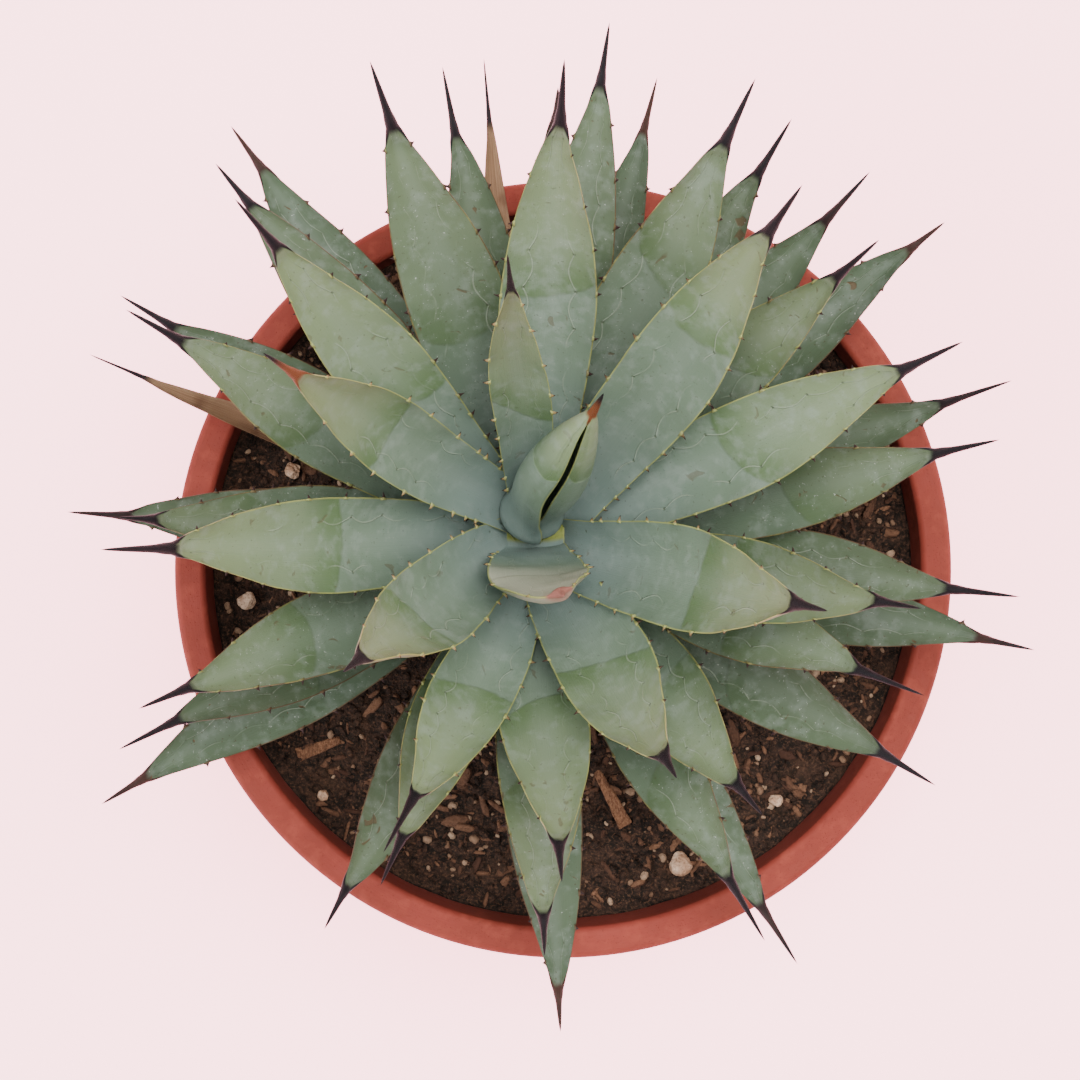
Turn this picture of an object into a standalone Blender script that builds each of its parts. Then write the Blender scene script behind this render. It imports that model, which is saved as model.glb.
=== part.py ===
"""Potted agave: a dense rosette of spine-tipped leaves in a shallow clay bowl.

Metres, +Z up. The origin is the centre of the bowl's underside.
"""
import math
import random

import bmesh
import bpy
from mathutils import Vector

# Bowl
RIM_DIAMETER = 0.300
BOWL_HEIGHT = 0.130
FOOT_DIAMETER = 0.190
WALL = 0.009
FLOOR = 0.012
RIM_BAND_WIDTH = 0.012
RIM_BAND_HEIGHT = 0.026
DRAIN_DIAMETER = 0.014
DRAIN_RADIUS = 0.045
DRAIN_COUNT = 3
BOWL_STEPS = 56

# Soil
SOIL_BELOW_RIM = 0.020
GAP = 0.0003

# Rosette
LEAF_SCALE = 1.0
LEAF_THICKNESS = 0.0032
ROSETTE_X = -0.012
ROSETTE_Y = 0.011
CROWN_HEIGHT = 0.062
FOOT_HEIGHT = 0.007
CROWN_REACH = 0.0070
FOOT_REACH = 0.0150
CROWN_LEAN = 0.008
LEANING = 5
ROLLED = 1

# One row a leaf, youngest first: turn about the stem, rise above level,
# blade length, widest width, spine length, arch and sweep along the blade.
# (degrees, degrees, mm, mm, mm, degrees, degrees)
LEAVES = [
    (61, 65, 96, 24, 14, -4, 0),
    (151, 57, 151, 30, 20, 6, -5),
    (270, 79, 88, 32, 7, 0, 48),
    (212, 67, 155, 34, 16, 8, 6),
    (96, 62, 152, 22, 20, 6, 1),
    (348, 61, 154, 38, 18, 8, 0),
    (248, 51, 133, 31, 31, 13, -9),
    (52, 48, 173, 35, 23, 8, 4),
    (302, 60, 140, 36, 14, 8, -2),
    (131, 42, 163, 33, 24, 8, 0),
    (26, 42, 166, 34, 25, 8, 0),
    (180, 49, 165, 35, 30, 8, 0),
    (274, 51, 141, 34, 17, 8, 0),
    (87, 41, 171, 36, 24, 8, 0),
    (351, 46, 150, 32, 18, 8, 0),
    (245, 45, 138, 30, 22, 8, 0),
    (42, 37, 157, 32, 21, 8, 0),
    (310, 48, 140, 34, 17, 8, 0),
    (150, 37, 160, 31, 23, 8, 0),
    (271, 39, 148, 33, 15, 8, 0),
    (65, 31, 165, 37, 25, 8, 0),
    (202, 41, 153, 32, 21, 8, 0),
    (339, 42, 143, 31, 28, 8, 0),
    (109, 32, 165, 38, 25, 8, 0),
    (13, 34, 156, 32, 24, 8, 0),
    (176, 38, 151, 30, 14, 8, 0),
    (300, 39, 154, 31, 27, 8, 0),
    (82, 24, 166, 32, 22, 8, 0),
    (354, 32, 156, 32, 26, 8, 0),
    (130, 27, 161, 32, 19, 8, 0),
    (241, 35, 151, 29, 17, 8, 0),
    (59, 24, 155, 33, 23, 8, 0),
    (329, 30, 150, 33, 23, 8, 0),
    (101, 22, 148, 30, 25, 8, 0),
    (206, 32, 150, 31, 24, 8, 0),
    (19, 22, 154, 30, 26, 8, 0),
    (149, 25, 152, 30, 22, 8, 0),
    (302, 25, 155, 31, 24, 8, 0),
    (48, 18, 153, 33, 24, 8, 0),
    (176, 25, 147, 30, 22, 8, 0),
    (348, 17, 161, 31, 20, 8, 0),
    (211, 17, 160, 32, 18, 8, 0),
    (87, 15, 148, 36, 12, 8, 0),
    (273, 22, 160, 31, 15, 8, 0),
    (126, 13, 162, 33, 19, 8, 0),
    (38, 12, 168, 32, 16, 8, 0),
    (74, 10, 149, 28, 20, 8, 2),
]

# Withered leaves under the rosette, in the same units
DRY_LEAVES = [
    (97, 9, 148, 16, 23, 4, -2),
    (157, 11, 148, 14, 21, 4, 0),
]

ROWS = len(LEAVES) + len(DRY_LEAVES)
BLADE_STATIONS = (0.0, 0.08, 0.20, 0.35, 0.50, 0.64, 0.78, 0.91, 1.0)
SPINE_STATIONS = ((0.30, 0.62), (0.66, 0.36))


def width_share(s, clasp):
    """Share of the widest width at the share s of the blade's length."""
    widest = 0.56
    if s < widest:
        return clasp + (1.0 - clasp) * math.sin(0.5 * math.pi * s / widest) ** 1.1
    return 0.12 + 0.88 * (1.0 - ((s - widest) / (1.0 - widest)) ** 1.7)


def roll_share(s):
    """The same for a leaf that is still rolled up."""
    if s < 0.36:
        return 0.50 + 0.50 * math.sin(0.5 * math.pi * s / 0.36) ** 0.65
    return 0.12 + 0.88 * (1.0 - ((s - 0.36) / 0.64) ** 2.0)


def rise_over_rim(turn, reach, place_z, bulk, width, arch):
    """The least rise in degrees that carries a leaf over the bowl's rim."""
    angle = math.radians(turn)
    inner = 0.5 * RIM_DIAMETER - RIM_BAND_WIDTH
    offset = ROSETTE_X * math.cos(angle) + ROSETTE_Y * math.sin(angle)
    shift = ROSETTE_X ** 2 + ROSETTE_Y ** 2
    distance = math.sqrt(offset ** 2 + inner ** 2 - shift) - offset - reach
    under = 0.8 * bulk + 0.08 * width + GAP
    lift = BOWL_HEIGHT + under - place_z
    return math.degrees(math.atan2(lift, distance)) + 0.2 * arch


def leaf_rings(row, order):
    """Rings of eight points from the stem to the spine, and the spine's tip."""
    turn, rise, length, width, spine, arch, sweep = row
    age = order / (ROWS - 1)
    rolled = order < ROLLED
    length = length * 0.001 * LEAF_SCALE
    width = width * 0.001 * LEAF_SCALE
    spine = spine * 0.001 * LEAF_SCALE
    height = (CROWN_HEIGHT + (FOOT_HEIGHT - CROWN_HEIGHT) * age) * LEAF_SCALE
    reach = (CROWN_REACH + (FOOT_REACH - CROWN_REACH) * age) * LEAF_SCALE
    bulk = LEAF_THICKNESS * LEAF_SCALE
    room = 2.15 * CROWN_HEIGHT / ROWS * LEAF_SCALE
    clasp = 0.31 + 0.12 * max(0.0, 1.0 - 9.0 * age)
    start = math.radians(turn)
    axis = Vector((ROSETTE_X, ROSETTE_Y, 0.0))
    if rolled:
        height += 0.005 * LEAF_SCALE
        reach = 0.0
        axis.x -= 0.002 * LEAF_SCALE
    if order < LEANING:
        axis.y += CROWN_LEAN * LEAF_SCALE * (1.0 - (order / LEANING) ** 2)
    place = axis + Vector((reach * math.cos(start), reach * math.sin(start), 0.0))
    place.z = BOWL_HEIGHT - SOIL_BELOW_RIM + height
    rise = max(rise, rise_over_rim(turn, reach, place.z, bulk, width, arch))
    stations = []
    for s in BLADE_STATIONS:
        share = roll_share(s) if rolled else width_share(s, clasp)
        stations.append((s * length, share))
    for share, scale in SPINE_STATIONS:
        stations.append((length + share * spine, 0.12 * scale))
    rings = []
    run = 0.0
    for along, wide in stations:
        s = min(along / length, 1.0)
        slope = math.radians(rise + arch * (s - 0.5))
        heading = start + math.radians(sweep * s)
        ahead = Vector((math.cos(slope) * math.cos(heading),
                        math.cos(slope) * math.sin(heading),
                        math.sin(slope)))
        across = Vector((-math.sin(heading), math.cos(heading), 0.0))
        above = ahead.cross(across)
        place = place + ahead * (along - run)
        run = along
        half = 0.5 * width * wide
        ring = []
        if rolled:
            for i in range(8):
                angle = math.pi * (1.0 + 0.25 * i)
                ring.append(place - across * (math.cos(angle) * half)
                            + above * (math.sin(angle) * half * 0.9))
            rings.append(ring)
            continue
        out = max((place - axis).xy.length, reach)
        wrap = half * half / (2.0 * out) * math.sin(slope)
        cup = min(max(wrap, 0.20 * half), 0.55 * half) * min(1.0, 3.0 - 2.0 * s)
        thick = min(bulk, room + (bulk - room) * min(s / 0.25, 1.0))
        thick *= 0.62 + 0.38 * math.sin(math.pi * min(s + 0.1, 1.0))
        if along > length:
            thick = 2.2 * half * 0.9
            cup = 0.0
        elif s > 0.9:
            thick = min(thick, 1.5 * half)
        for x, y in ((-1.0, 0.0), (-0.52, -0.72), (0.0, -1.0), (0.52, -0.72), (1.0, 0.0)):
            lift = cup * (1.0 + y) - cup
            ring.append(place + across * (-x * half) + above * lift)
        for x, y, t in ((0.56, -0.68, 0.72), (0.0, -1.0, 1.0), (-0.56, -0.68, 0.72)):
            lift = cup * y - thick * t
            ring.append(place + across * (-x * half) + above * lift)
        rings.append(ring)
    tip = place + ahead * (length + spine - run)
    return rings, tip


def build_leaf(name, row, order, material, collection):
    """One closed leaf with its spine, lofted through its rings."""
    rings, tip = leaf_rings(row, order)
    mesh = bpy.data.meshes.new(name)
    shape = bmesh.new()
    loops = [[shape.verts.new(point) for point in ring] for ring in rings]
    end = shape.verts.new(tip)
    count = len(loops[0])
    for inner, outer in zip(loops, loops[1:]):
        for i in range(count):
            j = (i + 1) % count
            shape.faces.new((inner[i], inner[j], outer[j], outer[i]))
    for i in range(count):
        shape.faces.new((loops[-1][i], loops[-1][(i + 1) % count], end))
    shape.faces.new(list(reversed(loops[0])))
    bmesh.ops.triangulate(shape, faces=shape.faces[:])
    bmesh.ops.recalc_face_normals(shape, faces=shape.faces[:])
    shape.to_mesh(mesh)
    shape.free()
    mesh.shade_smooth()
    mesh.set_sharp_from_angle(angle=math.radians(50))
    leaf = bpy.data.objects.new(name, mesh)
    mesh.materials.append(material)
    collection.objects.link(leaf)
    return leaf


def clay_radius(z):
    """Outer radius of the bowl's wall at a height below the rim band."""
    band_foot = BOWL_HEIGHT - RIM_BAND_HEIGHT
    share = min(max(z / band_foot, 0.0), 1.0)
    foot = 0.5 * FOOT_DIAMETER
    shoulder = 0.5 * RIM_DIAMETER - 0.0035
    return foot + (shoulder - foot) * math.sin(0.5 * math.pi * share) ** 0.85


def inner_radius(z):
    """Inner radius of the bowl at a height above its floor."""
    return min(clay_radius(z) - WALL, 0.5 * RIM_DIAMETER - RIM_BAND_WIDTH)


def turned(name, profile, steps, material, collection):
    """A solid turned from a profile of (radius, height) pairs."""
    mesh = bpy.data.meshes.new(name)
    points = [(radius, 0.0, height) for radius, height in profile]
    edges = [(i, i + 1) for i in range(len(points) - 1)]
    mesh.from_pydata(points, edges, [])
    thing = bpy.data.objects.new(name, mesh)
    collection.objects.link(thing)
    screw = thing.modifiers.new("Turn", "SCREW")
    screw.steps = steps
    screw.render_steps = steps
    screw.use_merge_vertices = True
    screw.merge_threshold = 0.00001
    screw.use_smooth_shade = True
    mesh.materials.append(material)
    return thing


def surface(name, colour, roughness):
    """A plain material with one colour and roughness."""
    material = bpy.data.materials.new(name)
    material.use_nodes = True
    shader = material.node_tree.nodes["Principled BSDF"]
    shader.inputs["Base Color"].default_value = (*colour, 1.0)
    shader.inputs["Roughness"].default_value = roughness
    shader.inputs["Metallic"].default_value = 0.0
    material.diffuse_color = (*colour, 1.0)
    return material


def build_bowl(material, parts, cutters):
    """The clay bowl with its rim band and drain holes."""
    outer = 0.5 * RIM_DIAMETER
    inner = outer - RIM_BAND_WIDTH
    band_foot = BOWL_HEIGHT - RIM_BAND_HEIGHT
    profile = [(0.0, FLOOR), (inner_radius(FLOOR) - 0.006, FLOOR)]
    for i in range(6):
        z = FLOOR + 0.004 + (band_foot - FLOOR - 0.004) * i / 5.0
        profile.append((inner_radius(z), z))
    profile.append((inner, BOWL_HEIGHT - 0.003))
    profile.append((inner + 0.001, BOWL_HEIGHT - 0.0008))
    profile.append((inner + 0.003, BOWL_HEIGHT))
    profile.append((outer - 0.003, BOWL_HEIGHT))
    profile.append((outer - 0.001, BOWL_HEIGHT - 0.0008))
    profile.append((outer, BOWL_HEIGHT - 0.003))
    profile.append((outer, band_foot + 0.002))
    profile.append((outer - 0.001, band_foot))
    for i in range(6):
        z = (band_foot - 0.001) * (1.0 - i / 5.0)
        profile.append((clay_radius(z), z))
    profile.append((0.0, 0.0))
    bowl = turned("bowl", profile, BOWL_STEPS, material, parts)
    for i in range(DRAIN_COUNT):
        turn = 2.0 * math.pi * (i + 0.25) / DRAIN_COUNT
        bpy.ops.mesh.primitive_cylinder_add(
            vertices=20,
            radius=0.5 * DRAIN_DIAMETER,
            depth=4.0 * FLOOR,
            location=(DRAIN_RADIUS * math.cos(turn), DRAIN_RADIUS * math.sin(turn), 0.0),
        )
        drill = bpy.context.object
        drill.name = f"drain_cutter_{i + 1}"
        drill.hide_render = True
        drill.display_type = "WIRE"
        for home in list(drill.users_collection):
            home.objects.unlink(drill)
        cutters.objects.link(drill)
        cut = bowl.modifiers.new(f"Drain {i + 1}", "BOOLEAN")
        cut.operation = "DIFFERENCE"
        cut.solver = "EXACT"
        cut.object = drill
    return bowl


def build_soil(material, parts):
    """The potting mix that fills the bowl up to below its rim."""
    top = BOWL_HEIGHT - SOIL_BELOW_RIM
    base = FLOOR + GAP
    profile = [(0.0, top), (0.4 * inner_radius(top), top)]
    profile.append((inner_radius(top) - GAP - 0.006, top))
    profile.append((inner_radius(top) - GAP - 0.001, top - 0.002))
    for i in range(6):
        z = top - 0.006 - (top - 0.010 - base) * i / 5.0
        profile.append((inner_radius(z) - GAP - 0.0006, z))
    profile.append((inner_radius(FLOOR) - 0.008, base))
    profile.append((0.0, base))
    return turned("soil", profile, BOWL_STEPS, material, parts)


def build_stem(material, parts):
    """The short hidden stem that the leaves grow from."""
    foot = (FOOT_REACH - 0.0040) * LEAF_SCALE
    crown = (CROWN_REACH - 0.0040) * LEAF_SCALE
    rise = (CROWN_HEIGHT - 0.006) * LEAF_SCALE
    profile = [(0.0, rise), (crown * 0.6, rise), (crown, rise - 0.001)]
    profile += [(foot, 0.004 * LEAF_SCALE), (foot, 0.0), (0.0, 0.0)]
    stem = turned("stem", profile, 24, material, parts)
    stem.location = (ROSETTE_X, ROSETTE_Y, BOWL_HEIGHT - SOIL_BELOW_RIM + GAP)
    return stem


def by_the_wall(turn, distance):
    """A place on the soil, at a turn and a distance from the bowl's wall."""
    top = BOWL_HEIGHT - SOIL_BELOW_RIM
    radius = inner_radius(top) - distance
    angle = math.radians(turn)
    return (radius * math.cos(angle), radius * math.sin(angle), top + GAP)


def build_pebble(name, turn, distance, size, seed, material, parts):
    """An angular pebble lying on the soil."""
    dice = random.Random(seed)
    shape = bmesh.new()
    bmesh.ops.create_icosphere(shape, subdivisions=2, radius=0.5 * size)
    for vertex in shape.verts:
        vertex.co *= 1.0 + dice.uniform(-0.10, 0.10)
        vertex.co.z *= 0.72
    lowest = min(vertex.co.z for vertex in shape.verts)
    mesh = bpy.data.meshes.new(name)
    shape.to_mesh(mesh)
    shape.free()
    mesh.shade_smooth()
    mesh.materials.append(material)
    pebble = bpy.data.objects.new(name, mesh)
    pebble.location = by_the_wall(turn, distance)
    pebble.location.z -= lowest
    pebble.rotation_euler = (0.0, 0.0, dice.uniform(0.0, math.pi))
    parts.objects.link(pebble)
    return pebble


def build_chip(name, turn, distance, spin, size, material, parts):
    """A flat splinter of bark lying on the soil."""
    bpy.ops.mesh.primitive_cube_add(size=1.0)
    chip = bpy.context.object
    chip.name = name
    chip.data.name = name
    for vertex in chip.data.vertices:
        taper = 0.55 if vertex.co.x > 0.0 else 1.0
        vertex.co.x *= size[0]
        vertex.co.y *= size[1] * taper
        vertex.co.z = (vertex.co.z + 0.5) * size[2]
    bevel = chip.modifiers.new("Worn edges", "BEVEL")
    bevel.width = 0.2 * size[2]
    bevel.segments = 1
    chip.location = by_the_wall(turn, distance)
    chip.rotation_euler = (0.0, 0.0, math.radians(spin))
    chip.data.materials.append(material)
    for home in list(chip.users_collection):
        home.objects.unlink(chip)
    parts.objects.link(chip)
    return chip


# Turn about the bowl's axis in degrees, then metres in from the wall
PEBBLES = [
    (185.5, 0.0129, 0.008, 1),
    (159.8, 0.0246, 0.007, 2),
    (223.4, 0.0080, 0.005, 3),
    (291.6, 0.0127, 0.010, 4),
    (312.7, 0.0137, 0.006, 5),
]
CHIPS = [
    (281.9, 0.0455, 118, (0.025, 0.006, 0.0020)),
    (216.1, 0.0187, 20, (0.018, 0.006, 0.0018)),
]


def main():
    for thing in list(bpy.data.objects):
        bpy.data.objects.remove(thing, do_unlink=True)
    parts = bpy.data.collections.new("potted_agave")
    cutters = bpy.data.collections.new("cutters")
    bpy.context.scene.collection.children.link(parts)
    bpy.context.scene.collection.children.link(cutters)

    clay = surface("clay", (0.38, 0.085, 0.048), 0.85)
    mix = surface("potting_mix", (0.055, 0.024, 0.014), 0.95)
    green = surface("leaf", (0.22, 0.31, 0.22), 0.55)
    tan = surface("dry_leaf", (0.42, 0.24, 0.13), 0.8)
    core = surface("stem", (0.30, 0.26, 0.12), 0.8)
    pumice = surface("pumice", (0.52, 0.36, 0.26), 0.9)
    bark = surface("bark", (0.20, 0.085, 0.045), 0.9)

    build_bowl(clay, parts, cutters)
    build_soil(mix, parts)
    build_stem(core, parts)
    for i, row in enumerate(LEAVES):
        build_leaf(f"leaf_{i + 1:02d}", row, i, green, parts)
    for i, row in enumerate(DRY_LEAVES):
        build_leaf(f"dry_leaf_{i + 1}", row, len(LEAVES) + i, tan, parts)
    for i, (turn, distance, size, seed) in enumerate(PEBBLES):
        build_pebble(f"pebble_{i + 1}", turn, distance, size, seed, pumice, parts)
    for i, (turn, distance, spin, size) in enumerate(CHIPS):
        build_chip(f"bark_chip_{i + 1}", turn, distance, spin, size, bark, parts)


main()
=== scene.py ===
import math
import random

import bmesh
import bpy
from mathutils import Matrix, Vector, noise


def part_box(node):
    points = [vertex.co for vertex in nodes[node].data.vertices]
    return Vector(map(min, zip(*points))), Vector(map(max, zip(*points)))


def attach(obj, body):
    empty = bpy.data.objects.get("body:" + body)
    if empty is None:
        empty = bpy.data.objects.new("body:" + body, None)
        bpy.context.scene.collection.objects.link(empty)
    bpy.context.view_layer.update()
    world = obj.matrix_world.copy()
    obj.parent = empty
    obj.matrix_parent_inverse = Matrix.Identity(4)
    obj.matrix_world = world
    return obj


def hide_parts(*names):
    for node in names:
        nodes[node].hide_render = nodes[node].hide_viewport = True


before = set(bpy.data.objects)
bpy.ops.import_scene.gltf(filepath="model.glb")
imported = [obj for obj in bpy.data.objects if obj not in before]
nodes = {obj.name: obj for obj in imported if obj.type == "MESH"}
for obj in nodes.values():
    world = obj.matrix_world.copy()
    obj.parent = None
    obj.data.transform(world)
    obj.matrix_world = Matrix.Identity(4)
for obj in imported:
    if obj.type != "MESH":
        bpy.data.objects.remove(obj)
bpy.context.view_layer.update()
leafNames = sorted(name for name in nodes if name.startswith("leaf_"))
dryNames = sorted(name for name in nodes if name.startswith("dry_leaf_"))
pebbleNames = sorted(name for name in nodes if name.startswith("pebble_"))
chipNames = sorted(name for name in nodes if name.startswith("bark_chip_"))
bowlLow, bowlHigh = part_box("bowl")
soilLow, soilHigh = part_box("soil")
stemLow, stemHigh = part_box("stem")
crown = Vector(((stemLow.x + stemHigh.x) / 2, (stemLow.y + stemHigh.y) / 2, stemHigh.z))
tiny = 0.00001  # a length too small to see
print("frame loaded:", len(nodes), "nodes")


class Wire:  # a node's output that can be used in sums
    def __init__(self, paint, socket):
        self.paint = paint
        self.socket = socket

    def sum(self, operation, *values):
        return self.paint.node("Math", {"operation": operation}, list(values))

    def __add__(self, other):
        return self.sum("ADD", self, other)

    def __radd__(self, other):
        return self.sum("ADD", other, self)

    def __sub__(self, other):
        return self.sum("SUBTRACT", self, other)

    def __rsub__(self, other):
        return self.sum("SUBTRACT", other, self)

    def __mul__(self, other):
        return self.sum("MULTIPLY", self, other)

    def __rmul__(self, other):
        return self.sum("MULTIPLY", other, self)

    def __abs__(self):
        return self.sum("ABSOLUTE", self)


class Paint:  # one material and the nodes that make it
    def __init__(self, name, **constants):
        self.material = bpy.data.materials.new(name)
        self.material.use_nodes = True
        self.tree = self.material.node_tree
        self.shader = self.tree.nodes["Principled BSDF"]
        for socket, value in constants.items():
            self.shader.inputs[socket.replace("_", " ")].default_value = value

    def node(self, kind, settings=None, sockets=None, out=0):
        made = self.tree.nodes.new("ShaderNode" + kind)
        for key, value in (settings or {}).items():
            setattr(made, key, value)
        pairs = enumerate(sockets) if isinstance(sockets, list) else (sockets or {}).items()
        for key, value in pairs:
            target = made.inputs[key]
            if isinstance(value, Wire):
                self.tree.links.new(value.socket, target)
            elif isinstance(value, tuple) and len(value) == 3 and target.type == "RGBA":
                target.default_value = (*value, 1)
            else:
                target.default_value = value
        return Wire(self, made.outputs[out])

    def mix(self, share, low, high):  # from the low colour to the high one as the share goes from 0 to 1
        settings = {"data_type": "RGBA", "clamp_factor": True}
        return self.node("Mix", settings, {0: share, 6: low, 7: high}, out=2)

    def ease(self, value, low, high):  # a smooth step from 0 at low to 1 at high
        return self.node("MapRange", {"interpolation_type": "SMOOTHSTEP"}, {0: value, 1: low, 2: high})

    def grain(self, vector, scale, detail=3.0, rough=0.55, twist=0.0):
        sockets = {"Vector": vector, "Scale": scale, "Detail": detail,
                   "Roughness": rough, "Distortion": twist}
        return self.node("TexNoise", None, sockets)

    def place(self):  # a point in metres
        return self.node("TexCoord", out="Object")

    def stretch(self, vector, scale):
        return self.node("VectorMath", {"operation": "MULTIPLY"}, {0: vector, 1: scale})

    def split(self, vector):  # the three numbers of a vector
        return [self.node("SeparateXYZ", None, [vector], out=i) for i in range(3)]

    def parts(self, name):  # the three numbers stored at each point of a mesh
        return self.split(self.node("Attribute", {"attribute_name": name}, out="Vector"))

    def finish(self, colour, roughness, height=None, depth=0.001, strength=1.0):
        links = self.tree.links
        links.new(colour.socket, self.shader.inputs["Base Color"])
        links.new(roughness.socket, self.shader.inputs["Roughness"])
        if height is not None:
            sockets = {"Height": height, "Distance": depth, "Strength": strength}
            links.new(self.node("Bump", None, sockets).socket, self.shader.inputs["Normal"])
        return self.material


def placePiece(name, mesh, material, replaced):  # a finished mesh that stands for a CAD node
    mesh.materials.append(material)
    mesh.shade_smooth()
    mesh.update()
    piece = bpy.data.objects.new(name, mesh)
    bpy.context.scene.collection.objects.link(piece)
    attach(piece, "root")
    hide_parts(replaced)


def addPiece(name, points, faces, material, replaced, stored):
    mesh = bpy.data.meshes.new(name)
    mesh.from_pydata([tuple(point) for point in points], [], faces)
    for key, values in stored.items():
        layer = mesh.attributes.new(key, "FLOAT_VECTOR", "POINT")
        layer.data.foreach_set("vector", [number for value in values for number in value])
    placePiece(name, mesh, material, replaced)


# Leaf skin: grey-green, yellower outwards, with a horny edge and a dark spine
leafPaint = {
    "inner": (0.155, 0.209, 0.194),
    "middle": (0.121, 0.167, 0.115),
    "outer": (0.169, 0.213, 0.096),
    "pressed": (0.060, 0.106, 0.035),
    "oldLeaf": (0.045, 0.068, 0.038),
    # pale wax bloom, also used for a painted highlight along each leaf's middle
    "bloomAndHighlight": (0.285, 0.326, 0.300),
    "seam": (0.207, 0.229, 0.037),
    "cream": (0.414, 0.400, 0.311),
    "blush": (0.355, 0.148, 0.118),
    "margin": (0.252, 0.266, 0.081),
    "oldMargin": (0.081, 0.041, 0.019),
    "youngTooth": (0.266, 0.185, 0.074),
    "tooth": (0.022, 0.010, 0.009),
    "spine": (0.004, 0.003, 0.005),
    "oldSpine": (0.037, 0.013, 0.008),
    "budSpine": (0.133, 0.041, 0.015),
    "spineStreak": (0.022, 0.012, 0.011),
    "edgePrint": (0.296, 0.340, 0.259),
    "toothPrint": (0.044, 0.059, 0.030),
    "fibre": (0.104, 0.141, 0.100),
    "scar": (0.085, 0.061, 0.033),
    "speck": (0.056, 0.052, 0.030),
    "dust": (0.407, 0.429, 0.385),
    "broadGrain": 38.0,
    "mottleGrain": 210.0,
    "fineGrain": 2300.0,
    "scarGrain": 120.0,
    "speckGrain": 820.0,
    "dustGrain": 1150.0,
    "fibres": 105.0,
    "scallops": 34.0,
    "pressLine": 0.44,
    "thirdAge": 0.042,
    "roughness": 0.50,
    "bumpDepth": 0.00030,
}


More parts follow.
